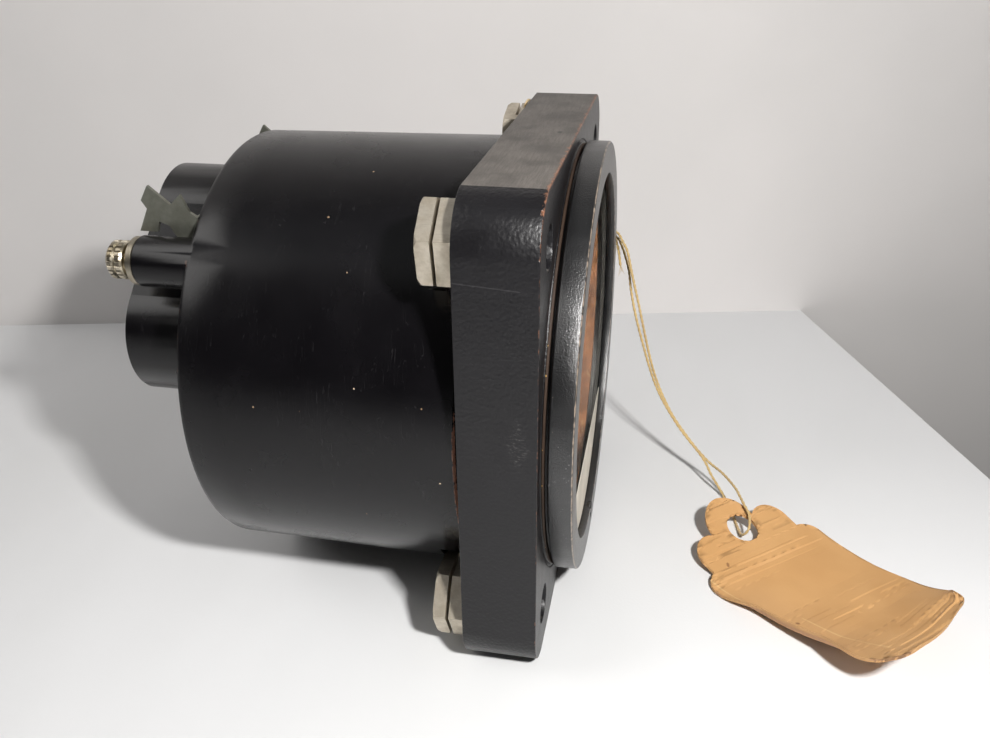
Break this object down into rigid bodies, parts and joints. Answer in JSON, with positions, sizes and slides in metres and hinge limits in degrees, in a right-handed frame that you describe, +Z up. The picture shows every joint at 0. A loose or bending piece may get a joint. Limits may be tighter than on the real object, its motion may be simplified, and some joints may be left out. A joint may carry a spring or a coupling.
{
  "type": "panel temperature gauge",
  "caption": "Round-faced panel temperature gauge with a square flange, drum case, glass front, moving-coil movement, rear screw terminals and a tied paper tag.",
  "frame": {"origin": "on the dial axis at the flange's panel face", "axes": "+Y along the dial axis from the dial to the terminals, +Z up, +X to the right of someone who reads the dial"},
  "size_m": [0.0615, 0.1094, 0.0604],
  "materials": {
    "moulded_black": "satin moulded phenolic",
    "bezel_black": "worn black paint over aluminium",
    "cement": "hard brown cement",
    "glass": "clear flat glass",
    "gasket": "matte",
    "spring_steel": "plain",
    "fibre": "matte vulcanised fibre",
    "nickel": "dull nickel plate over brass",
    "dark_steel": "blackened",
    "brass": "satin",
    "dial_black": "matte",
    "aluminium": "machined",
    "soft_iron": "ground",
    "magnet_steel": "ground",
    "jewel": "polished",
    "copper_wire": "enamelled copper wire",
    "pointer_cream": "matte luminous paint",
    "bronze": "polished phosphor bronze",
    "tin": "dull tinned",
    "insulation": "lacquered cotton",
    "resistance_wire": "enamelled wire",
    "spool_fibre": "matte",
    "string_cotton": "twisted cotton",
    "card": "manila card"
  },
  "bodies": {
    "case": {"flange_frame": "moulded_black", "insert_nuts": "nickel", "drum_case": "moulded_black", "bezel_ring": "bezel_black", "bezel_cement": "cement", "cover_glass": "glass", "glass_gasket": "gasket", "glass_retainer": "spring_steel", "fibre_spacer": "fibre", "dial_plate": "dial_black", "dial_posts": "brass", "dial_screws": "nickel", "chassis_plate": "aluminium", "chassis_pillars": "brass", "chassis_screws": "nickel", "case_screws": "nickel", "movement_posts": "brass", "pole_pieces": "soft_iron", "magnet": "magnet_steel", "iron_core": "soft_iron", "core_spacers": "brass", "front_bridge": "nickel", "front_jewel": "jewel", "rear_bridge": "nickel", "rear_jewel": "jewel", "bridge_screws": "nickel", "rear_hairspring": "bronze", "terminal_studs": "brass", "inner_straps": "brass", "solder_lugs": "tin", "lug_rivets": "nickel", "calibration_spool": "spool_fibre", "calibration_winding": "resistance_wire", "spool_screw": "nickel", "lead_wires": "insulation", "tag_string": "string_cotton", "string_knot": "string_cotton", "paper_tag": "card"},
    "pointer_group": {"pointer": "pointer_cream", "front_staff": "spring_steel", "rear_staff": "spring_steel", "coil_former": "aluminium", "coil_winding": "copper_wire", "balance_arms": "brass"},
    "zero_screw": {"zero_screw": "dark_steel"},
    "zero_arm": {"zero_arm": "brass", "front_hairspring": "bronze"},
    "near_washer": {"near_washer": "nickel"},
    "near_thumb_nut": {"near_thumb_nut": "nickel"},
    "far_washer": {"far_washer": "nickel"},
    "far_thumb_nut": {"far_thumb_nut": "nickel"}
  },
  "joints": [
    {"name": "pointer_turn", "type": "hinge", "parent": "case", "child": "pointer_group", "pos_m": [0, 0, 0], "axis": [0, 1, 0], "range_deg": [-4, 100], "stiffness_Nm_per_rad": 0.00002},
    {"name": "zero_screw_turn", "type": "hinge", "parent": "case", "child": "zero_screw", "pos_m": [0, 0, -0.0255], "axis": [0, 1, 0], "range_deg": [-45, 45]},
    {"name": "zero_arm_turn", "type": "hinge", "parent": "case", "child": "zero_arm", "pos_m": [0, 0, 0], "axis": [0, 1, 0], "range_deg": [-0.72, 0.72]},
    {"name": "near_washer_slide", "type": "slide", "parent": "case", "child": "near_washer", "axis": [0, 1, 0], "range_m": [0, 0.00127]},
    {"name": "near_nut_turn", "type": "hinge", "parent": "near_washer", "child": "near_thumb_nut", "pos_m": [-0.0185, 0.052, 0.01725], "axis": [0, 1, 0], "range_deg": [0, 720]},
    {"name": "far_washer_slide", "type": "slide", "parent": "case", "child": "far_washer", "axis": [0, 1, 0], "range_m": [0, 0.00127]},
    {"name": "far_nut_turn", "type": "hinge", "parent": "far_washer", "child": "far_thumb_nut", "pos_m": [0.0185, 0.052, 0.01725], "axis": [0, 1, 0], "range_deg": [0, 720]}
  ],
  "couplings": [
    {"joint": "zero_screw_turn", "follows": "zero_arm_turn", "ratio": -62.75},
    {"joint": "near_nut_turn", "follows": "near_washer_slide", "rad_per_m": 9894.8},
    {"joint": "far_nut_turn", "follows": "far_washer_slide", "rad_per_m": 9894.8}
  ]
}
